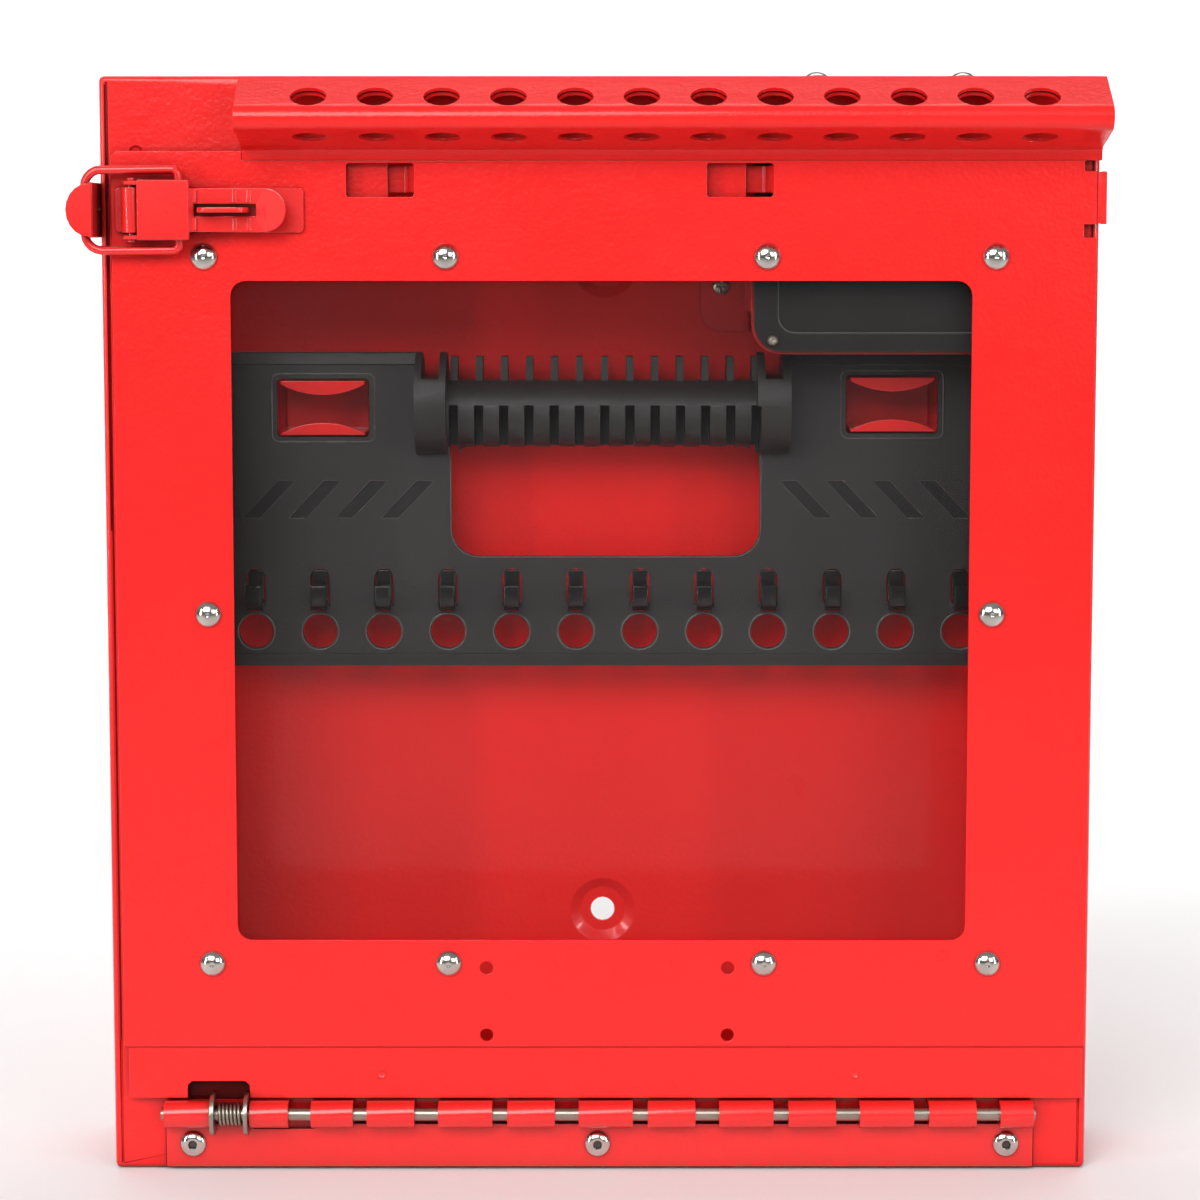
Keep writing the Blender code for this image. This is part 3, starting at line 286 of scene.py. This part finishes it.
def refine(node, material, width=0.25, segments=2, angle=30.0):
    """The CAD node with its sharp edges broken, as folded and painted sheet or a moulding has them."""
    made = bmesh.new()
    made.from_mesh(frame["nodes"][node].data)
    bmesh.ops.remove_doubles(made, verts=made.verts, dist=0.02 * MM)
    bmesh.ops.dissolve_degenerate(made, edges=made.edges, dist=0.02 * MM)
    sharp = [e for e in made.edges if len(e.link_faces) == 2 and e.calc_face_angle() > math.radians(angle)]
    bmesh.ops.bevel(
        made,
        geom=sharp,
        offset=width * MM,
        offset_type="OFFSET",
        segments=segments,
        profile=0.5,
        affect="EDGES",
        clamp_overlap=False,
    )
    bmesh.ops.recalc_face_normals(made, faces=made.faces)
    mesh = to_mesh(made, node + "_skin")
    smooth(mesh)
    piece = add_piece(node + "_skin", mesh, material, BODY_OF[node], [node])
    weigh_normals(piece)
    return piece


def lathe(name, profile, centre, axis, material, body, replaces=(), sides=40):
    """A turned piece from (r, h) in millimetres, h along the axis from its centre in metres."""
    made = bmesh.new()
    rings = []
    for r, h in profile:
        if r == 0:
            rings.append([made.verts.new((0, 0, h * MM))])
            continue
        turns = [2 * math.pi * k / sides for k in range(sides)]
        rings.append([made.verts.new((r * MM * math.cos(t), r * MM * math.sin(t), h * MM)) for t in turns])
    for low, high in zip(rings, rings[1:]):
        for k in range(sides):
            j = (k + 1) % sides
            corners = [low[k % len(low)], low[j % len(low)], high[j % len(high)], high[k % len(high)]]
            unique = list(dict.fromkeys(corners))
            if len(unique) > 2:
                made.faces.new(unique)
    turn = Vector(axis).to_track_quat("Z", "Y").to_matrix().to_4x4()
    bmesh.ops.recalc_face_normals(made, faces=made.faces)
    made.transform(Matrix.Translation(centre) @ turn)
    mesh = to_mesh(made, name)
    smooth(mesh, 38.0)
    return add_piece(name, mesh, material, body, replaces)


def tube(name, points, radius, material, body, replaces=(), cyclic=False, resolution=3):
    """A round wire along points in metres."""
    data = bpy.data.curves.new(name + "_path", "CURVE")
    data.dimensions = "3D"
    data.bevel_depth = radius * MM
    data.bevel_resolution = resolution
    data.use_fill_caps = True
    spline = data.splines.new("POLY")
    spline.points.add(len(points) - 1)
    for point, place in zip(spline.points, points):
        point.co = (*place, 1)
    spline.use_cyclic_u = cyclic
    rough = bpy.data.objects.new(name + "_path", data)
    bpy.context.scene.collection.objects.link(rough)
    bpy.context.view_layer.update()
    mesh = bpy.data.meshes.new_from_object(rough.evaluated_get(bpy.context.evaluated_depsgraph_get()))
    bpy.data.objects.remove(rough, do_unlink=True)
    made = bmesh.new()
    made.from_mesh(mesh)
    bmesh.ops.remove_doubles(made, verts=made.verts, dist=0.005 * MM)
    bmesh.ops.recalc_face_normals(made, faces=made.faces)
    made.to_mesh(mesh)
    made.free()
    smooth(mesh, 60.0)
    return add_piece(name, mesh, material, body, replaces)


def at(x, y, z):
    """World place of a point given in the design's millimetres, whose y is 0 on the door's face."""
    return (x * MM, (y - ORIGIN_Y) * MM, z * MM)


def arc(centre, radius, start, stop, steps):
    turns = [math.radians(start + (stop - start) * k / steps) for k in range(steps + 1)]
    return [(centre[0] + radius * math.cos(t), centre[1] + radius * math.sin(t)) for t in turns]


def rounded(left, low, right, high, radius, steps=6):
    return (
        arc((right - radius, low + radius), radius, -90, 0, steps)
        + arc((right - radius, high - radius), radius, 0, 90, steps)
        + arc((left + radius, high - radius), radius, 90, 180, steps)
        + arc((left + radius, low + radius), radius, 180, 270, steps)
    )


def prism(name, loop, left, right, material, body, bevel=0.3):
    """A loop of (y, z) in design millimetres, drawn out from left to right with rounded edges."""
    made = bmesh.new()
    ends = [[made.verts.new(at(x, y, z)) for y, z in loop] for x in (left, right)]
    for k in range(len(loop)):
        j = (k + 1) % len(loop)
        made.faces.new((ends[0][k], ends[0][j], ends[1][j], ends[1][k]))
    for end in ends:
        made.faces.new(end)
    bmesh.ops.recalc_face_normals(made, faces=made.faces)
    mesh = to_mesh(made, name)
    smooth(mesh, 40.0)
    piece = add_piece(name, mesh, material, body)
    rounding = piece.modifiers.new("rounding", "BEVEL")
    rounding.width = bevel * MM
    rounding.segments = 3
    rounding.limit_method = "ANGLE"
    rounding.angle_limit = math.radians(40)
    weigh_normals(piece)
    return piece


# ---------------------------------------------------------------- pieces


def build_sheet_metal():
    refine("case_shell", RED, 0.30)
    refine("door_panel", RED, 0.28)
    refine("hasp_flange", RED, 0.28)
    for node in ("hinge_case_leaf", "hinge_door_leaf", "chute_bracket", "rack_bracket_left", "rack_bracket_right"):
        refine(node, RED_HARDWARE, 0.22)
    for node in ("latch_base", "latch_lever", "latch_keeper", "latch_pivot_pin"):
        refine(node, RED_HARDWARE, 0.28)


# Hook board, in the design's millimetres
RACK_FACE = 45.0
RACK_MIDDLE = 2.5
RACK_ENDS = (-143.5, 148.5)
RACK_LEVELS = (180.9, 297.8)
GRIP_ENDS = (-66.0, 71.0)  # the upper margin stops here, on either side of the grip
MARGIN = ((45.4, 4.9), (44.3, 4.55), (45.1, 0.1), (47.0, 0.05))  # section: y, and how far in from the edge
TAG_HOLE = (193.8, 6.4)  # height and radius
CLIP_WINDOWS = {"left": (-102.6, 277.2), "right": (108.2, 278.5)}
FINGER_SIDES = (-55.45, 59.75)
FINGER_CORNERS = (-45.1, 49.4)
FINGER_LOW = 232.0  # height of the corners' centres
FINGER_RADIUS = 10.35
FINGER_HIGH = 259.0
HOOK_COLUMNS = [-128.3 + 23.86 * k for k in range(12)]
HOOK_HALF = 2.9
HOOK_LEVEL = 207.4  # height of the bend's centre
HOOK_OUTER = 5.75
HOOK_INNER = 3.5
HOOK_TIP = 212.0
HOOK_TOP = 216.9
BARS = 4  # slanted recesses on each side
BAR_FIRST = 63.9
BAR_PITCH = 17.2
BAR_WIDTH = 6.7
BAR_LEAN = 13.4
BAR_LEVELS = (250.2, 236.2)

CHUTE_FACE = 12.95

# Sheet metal, in the design's millimetres
LATCH_LEVEL = 349.6
FOLD_LEVEL = 46.75
LEAF_SEAMS = {"left": -159.15, "right": 158.85}
NOTCH = ((-151.0, -125.0), (26.0, 39.6))
LEFT_SEAM = (-176.1, -175.4)
LEVER_RIBS = ((-143.2, -8.9), (-128.9, -7.55), (-123.9, -7.65))  # x, and y of the lever's face there
STRIP_WELDS = (-79.75, 93.25)
WELD_LEVEL = 36.1
WELD = ((1.75, -0.4), (1.75, 0.05), (1.5, 0.30), (1.15, 0.34), (0.85, 0.12), (0.5, 0.02), (0, 0.0))


def build_hooks():
    """Twelve smooth J hooks over the board's own, thicker by a hair."""
    y = RACK_FACE - 3.2
    outer = arc((y, HOOK_LEVEL), HOOK_OUTER, 180, 300, 14)
    inner = arc((y, HOOK_LEVEL), HOOK_INNER, 300, 180, 12)
    tip = [(y - HOOK_INNER, 211.2), (y - 4.1, HOOK_TIP), (y - 5.2, HOOK_TIP), (y - HOOK_OUTER, 211.2)]
    shank = [(RACK_FACE + 2.5, outer[-1][1]), (RACK_FACE + 2.5, HOOK_TOP), (RACK_FACE + 0.5, HOOK_TOP)]
    shank.append((RACK_FACE + 0.5, inner[0][1] + 1.4))
    loop = outer + shank + inner + tip
    for k, x in enumerate(HOOK_COLUMNS):
        prism(f"rack_hook_{k + 1}", loop, x - HOOK_HALF, x + HOOK_HALF, GLOSSY, "rack", 0.5)


def build_rack_trim():
    """The board's bevelled margins and the rims of its openings, the rims painted light as highlights."""
    left, right = RACK_ENDS
    low, high = RACK_LEVELS
    lower = [(y, low + z) for y, z in MARGIN]
    upper = [(y, high - z) for y, z in MARGIN]
    prism("rack_margin_low", lower, left + 0.1, right - 0.1, BLACK, "rack", 0.25)
    prism("rack_margin_left", upper, left + 0.1, GRIP_ENDS[0], BLACK, "rack", 0.25)
    prism("rack_margin_right", upper, GRIP_ENDS[1], right - 0.1, BLACK, "rack", 0.25)
    for k, x in enumerate(HOOK_COLUMNS):
        ring = [at(u, RACK_FACE, v) for u, v in arc((x, TAG_HOLE[0]), TAG_HOLE[1] + 0.5, 0, 352.5, 47)]
        tube(f"rack_tag_rim_{k + 1}", ring, 0.42, HIGHLIGHT_RIM, "rack", cyclic=True)
    for side, (x, z) in CLIP_WINDOWS.items():
        loop = [at(u, RACK_FACE, v) for u, v in rounded(x - 19.0, z - 12.6, x + 19.0, z + 12.6, 2.6)]
        tube(f"rack_clip_rim_{side}", loop, 0.36, HIGHLIGHT_RIM, "rack", cyclic=True)
    path = [(FINGER_SIDES[0], FINGER_HIGH)]
    path += arc((FINGER_CORNERS[0], FINGER_LOW), FINGER_RADIUS, 180, 270, 10)
    path += arc((FINGER_CORNERS[1], FINGER_LOW), FINGER_RADIUS, 270, 360, 10)
    path.append((FINGER_SIDES[1], FINGER_HIGH))
    tube("rack_finger_rim", [at(u, RACK_FACE, v) for u, v in path], 0.32, HIGHLIGHT_RIM, "rack")


def build_rack_bars():
    """Dark sheets of painted shade as floors of the slanted recesses, each with a fine rim painted light as a
    highlight.
    """
    for side in (-1, 1):
        for k in range(BARS):
            inner = BAR_FIRST + BAR_PITCH * k
            outer = inner + BAR_WIDTH
            high, low = BAR_LEVELS
            outline = [(inner, high), (outer, high), (outer + BAR_LEAN, low), (inner + BAR_LEAN, low)]
            outline = [(RACK_MIDDLE + side * u, v) for u, v in outline]
            name = f"rack_bar_{'left' if side < 0 else 'right'}_{k + 1}"
            made = bmesh.new()
            corners = [made.verts.new(at(u, RACK_FACE + 0.72, v)) for u, v in outline]
            sunk = [made.verts.new(at(u, RACK_FACE + 0.9, v)) for u, v in outline]
            made.faces.new(corners)
            made.faces.new(sunk)
            for i in range(4):
                j = (i + 1) % 4
                made.faces.new((corners[i], corners[j], sunk[j], sunk[i]))
            bmesh.ops.recalc_face_normals(made, faces=made.faces)
            add_piece(name, to_mesh(made, name), RECESS_SHADE, "rack")
            rim = [at(u, RACK_FACE, v) for u, v in outline]
            tube(name + "_rim", rim, 0.2, HIGHLIGHT_RIM, "rack", cyclic=True, resolution=2)


def shade_plate(name, sides, levels, depths, paint):
    """A thin plate of painted shade in the case's face, over a seam or a recess."""
    front, back = depths
    low, high = levels
    loop = [(front, low), (front, high), (back, high), (back, low)]
    prism(name, loop, *sides, paint, "case", 0.05)


def build_seams():
    """Painted shade along joints, a fold and a recess, lever ribs, and weld marks of the sheet metal."""
    # a dark red tube of painted shade along the door's joggle fold
    fold = [at(x, 0.55, FOLD_LEVEL) for x in (-173.2, 176.2)]
    tube("door_joggle_painted_shade", fold, 0.5, RED_SOFT_SHADE, "door")
    # thin plates of painted deep shade along the hinge leaf's edges
    for side, x in LEAF_SEAMS.items():
        shade_plate(f"hinge_leaf_edge_painted_shade_{side}", (x - 0.2, x + 0.2), (0.6, 17.0), (4.3, 4.7), RED_SHADE)
    # a plate of painted deep shade on the case lip behind the hinge strip's notch
    shade_plate("case_notch_painted_shade", *NOTCH, (4.38, 4.8), RED_SHADE)
    # painted shadow of the door's left edge: soft shade below, deep shade above
    shade_plate("case_seam_left_painted_shade_low", LEFT_SEAM, (48.0, 235.0), (4.42, 4.8), RED_SOFT_SHADE)
    shade_plate("case_seam_left_painted_shade_high", LEFT_SEAM, (235.0, 394.0), (4.42, 4.8), RED_SHADE)
    for k, (x, face) in enumerate(LEVER_RIBS):
        for side, ends in (("upper", (2.7, 7.1)), ("lower", (-7.1, -2.7))):
            path = [at(x, face + 1.05, LATCH_LEVEL + z) for z in ends]
            tube(f"lever_rib_{k + 1}_{side}", path, 1.4, RED_HARDWARE, "lever", resolution=4)
    for k, x in enumerate(STRIP_WELDS):
        place = Vector(at(x, 0.9, WELD_LEVEL))
        lathe(f"strip_weld_{k + 1}", WELD, place, (0, -1, 0), RED_HARDWARE, "door", sides=24)


def build_mouldings():
    refine("hook_rack", BLACK, 0.14, 2, 40.0)
    build_hooks()
    build_rack_trim()
    build_rack_bars()
    refine("key_chute", SATIN, 0.22)
    # a thin rim painted light as a highlight around the chute's inset
    path = [(64.0, 380.0)] + arc((70.3, 312.0), 6.3, 180, 270, 8)
    path += arc((140.2, 312.0), 6.3, 270, 360, 8) + [(146.5, 380.0)]
    tube("chute_rim", [at(u, CHUTE_FACE, v) for u, v in path], 0.32, HIGHLIGHT_LINE, "case")


# Rivet sections: radius, and height above the sheet
DOME = [(4.78, 0.0), (4.82, 0.22), (4.66, 0.62), (4.30, 1.10), (3.75, 1.62), (3.0, 2.10), (2.2, 2.44)]
DOME += [(1.5, 2.62), (1.0, 2.70), (0.72, 2.68), (0.5, 2.58), (0, 2.54)]
SHANK = [(0, -4.6), (2.2, -4.6), (2.4, -4.4), (2.4, 0.0)]
OPEN_DOME = [(4.8, 0.0), (4.85, 0.3), (4.6, 0.8), (4.0, 1.35), (3.2, 1.8), (2.5, 2.05), (1.95, 2.1)]
OPEN_DOME += [(1.62, 1.98), (1.5, 1.7), (1.5, 0.6), (0, 0.6)]
MANDREL = [(1.42, 0.7), (1.42, 1.2), (1.1, 1.5), (0, 1.55)]
RIVETS = {  # head, its height in the CAD, the shank's depth and the way it faces
    "window_rivet": (DOME, 2.8, 4.6, (0, -1, 0)),
    "hinge_rivet": (OPEN_DOME, 2.1, 3.5, (0, -1, 0)),
    "chute_rivet": (DOME, 2.8, 2.8, (0, 0, 1)),
    "keeper_rivet": (DOME, 2.8, 3.3, (-1, 0, 0)),
}


def build_rivets():
    """Domes with a small centre mark, turned finely enough to keep a round highlight."""
    for node in sorted(BODY_OF):
        kind = node.rsplit("_", 1)[0]
        if kind not in RIVETS:
            continue
        head, height, depth, axis = RIVETS[kind]
        low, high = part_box(node)
        base = (low + high) / 2
        for i, way in enumerate(axis):
            if way:
                base[i] = (high if way > 0 else low)[i] - way * height * MM
        profile = [(r, max(h, -depth)) for r, h in SHANK] + head
        lathe(node + "_dome", profile, base, axis, NICKEL, BODY_OF[node], [node])
        if kind == "hinge_rivet":
            lathe(node + "_mandrel", MANDREL, base, axis, DARK, BODY_OF[node], sides=24)


SPRING_WIRE = 0.62  # radius of the wire
SPRING_RADIUS = 3.75
SPRING_TURNS = 6
SPRING_STEPS = 192


def build_spring():
    """A round wire spring on the hinge pin."""
    low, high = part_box("hinge_spring")
    centre = (low + high) / 2
    left = low.x + SPRING_WIRE * MM
    right = high.x - SPRING_WIRE * MM
    points = []
    for i in range(SPRING_STEPS + 1):
        share = i / SPRING_STEPS
        angle = 2 * math.pi * SPRING_TURNS * share
        y = centre.y + SPRING_RADIUS * MM * math.cos(angle)
        z = centre.z + SPRING_RADIUS * MM * math.sin(angle)
        points.append((left + (right - left) * share, y, z))
    tube("hinge_spring_wire", points, SPRING_WIRE, STEEL, "case", ["hinge_spring"], resolution=4)


def build_hardware():
    """Plated small parts, the wire bail and the window."""
    for node in ("hinge_pin", "spring_seat_fixed", "spring_seat_sliding", "chute_screw", "bracket_screw"):
        refine(node, STEEL, 0.15)
    refine("latch_bail", RED_HARDWARE, 0.1, 1, 60.0)
    refine("window_pane", CLEAR, 0.3)


# ---------------------------------------------------------------- stage


FLOOR_HALF = 4.0  # metres, as is all of the stage
FLOOR_DROP = 0.0002
BEND_START = 1.2
BEND_RADIUS = 1.0
BEND_STEPS = 12
WALL_TOP = 5.0


def build_stage():
    """A pale floor that bends up into a wall behind, and greys towards the camera."""
    made = bmesh.new()
    profile = [(-FLOOR_HALF, 0.0), (BEND_START, 0.0)]
    for k in range(1, BEND_STEPS + 1):
        angle = math.pi / 2 * k / BEND_STEPS
        profile.append((BEND_START + BEND_RADIUS * math.sin(angle), BEND_RADIUS - BEND_RADIUS * math.cos(angle)))
    profile.append((BEND_START + BEND_RADIUS, WALL_TOP))
    rows = [[made.verts.new((x, y, z - FLOOR_DROP)) for x in (-FLOOR_HALF, FLOOR_HALF)] for y, z in profile]
    for low, high in zip(rows, rows[1:]):
        made.faces.new((low[0], low[1], high[1], high[0]))
    mesh = to_mesh(made, "floor")
    smooth(mesh, 40.0)
    s = Shader("pale_floor")
    shade = s.ramp(s.noise(2.0), [(0.3, (0.86, 0.86, 0.86)), (0.7, (0.89, 0.89, 0.89))])
    depth = s.add("ShaderNodeSeparateXYZ", {"Vector": s.place}).outputs["Y"]
    inputs = {"Value": depth, "From Min": -0.75, "From Max": -0.10, "To Min": 0.28, "To Max": 1.0}
    fade = s.add("ShaderNodeMapRange", inputs).outputs["Result"]
    s.put(Base_Color=s.mix(fade, rgb(0.34, 0.34, 0.34), shade), Roughness=0.8)
    mesh.materials.append(s.material)
    floor = bpy.data.objects.new("floor", mesh)
    bpy.context.scene.collection.objects.link(floor)


LIGHTS = (  # name, place, aim, size in metres, watts and spread in degrees
    ("key", (-0.55, -1.75, 1.25), (0, 0, 0.20), (1.3, 1.0), 11.2, 110.0),
    ("fill", (0.95, -1.75, 0.80), (0, 0, 0.20), (0.8, 0.8), 2.9, 110.0),
    ("strip_left", (-1.15, -0.85, 0.45), (-0.1, 0, 0.25), (0.06, 0.9), 2.4, 120.0),
    ("strip_right", (1.15, -0.80, 0.45), (0.1, 0, 0.25), (0.06, 0.9), 1.8, 120.0),
    ("top", (0.0, 0.25, 1.6), (0, 0.1, 0.3), (1.2, 0.5), 0.9, 140.0),
    ("backdrop", (0.0, 0.9, 2.4), (0, 1.9, 0.4), (3.2, 0.8), 38.0, 110.0),
)


def area_light(name, place, target, size, energy, spread):
    data = bpy.data.lights.new(name, "AREA")
    data.shape = "RECTANGLE"
    data.size, data.size_y = size
    data.energy = energy
    data.spread = math.radians(spread)
    lamp = bpy.data.objects.new(name, data)
    lamp.location = place
    lamp.rotation_euler = (Vector(target) - Vector(place)).to_track_quat("-Z", "Y").to_euler()
    bpy.context.scene.collection.objects.link(lamp)


def build_world():
    """A dim room that is darker below the horizon."""
    world = bpy.data.worlds.new("studio")
    bpy.context.scene.world = world
    world.use_nodes = True
    tree = world.node_tree
    background = tree.nodes["Background"]
    direction = tree.nodes.new("ShaderNodeTexCoord").outputs["Generated"]
    split = tree.nodes.new("ShaderNodeSeparateXYZ")
    tree.links.new(direction, split.inputs["Vector"])
    spread = tree.nodes.new("ShaderNodeMapRange")
    for key, value in {"From Min": -0.35, "From Max": 0.75, "To Min": 0.04, "To Max": 0.32}.items():
        spread.inputs[key].default_value = value
    tree.links.new(split.outputs["Z"], spread.inputs["Value"])
    tree.links.new(spread.outputs["Result"], background.inputs["Strength"])
    background.inputs["Color"].default_value = (1.0, 1.0, 1.0, 1.0)


def build_lights():
    build_world()
    for light in LIGHTS:
        area_light(*light)


CAMERA_PITCH = 6.25  # degrees down
CAMERA_PLACE = (0.0, -1.22987, 0.34114)
CAMERA_LENS = 100.2  # millimetres, on a sensor 36 wide


def build_camera():
    data = bpy.data.cameras.new("camera")
    data.lens = CAMERA_LENS
    data.sensor_width = 36.0
    data.clip_end = 50.0
    camera = bpy.data.objects.new("camera", data)
    camera.location = CAMERA_PLACE
    camera.rotation_euler = (math.radians(90 - CAMERA_PITCH), 0, 0)
    bpy.context.scene.collection.objects.link(camera)
    bpy.context.scene.camera = camera


build_sheet_metal()
build_seams()
build_mouldings()
build_rivets()
build_spring()
build_hardware()
build_stage()
build_lights()
build_camera()
bpy.context.scene.view_settings.view_transform = "Standard"
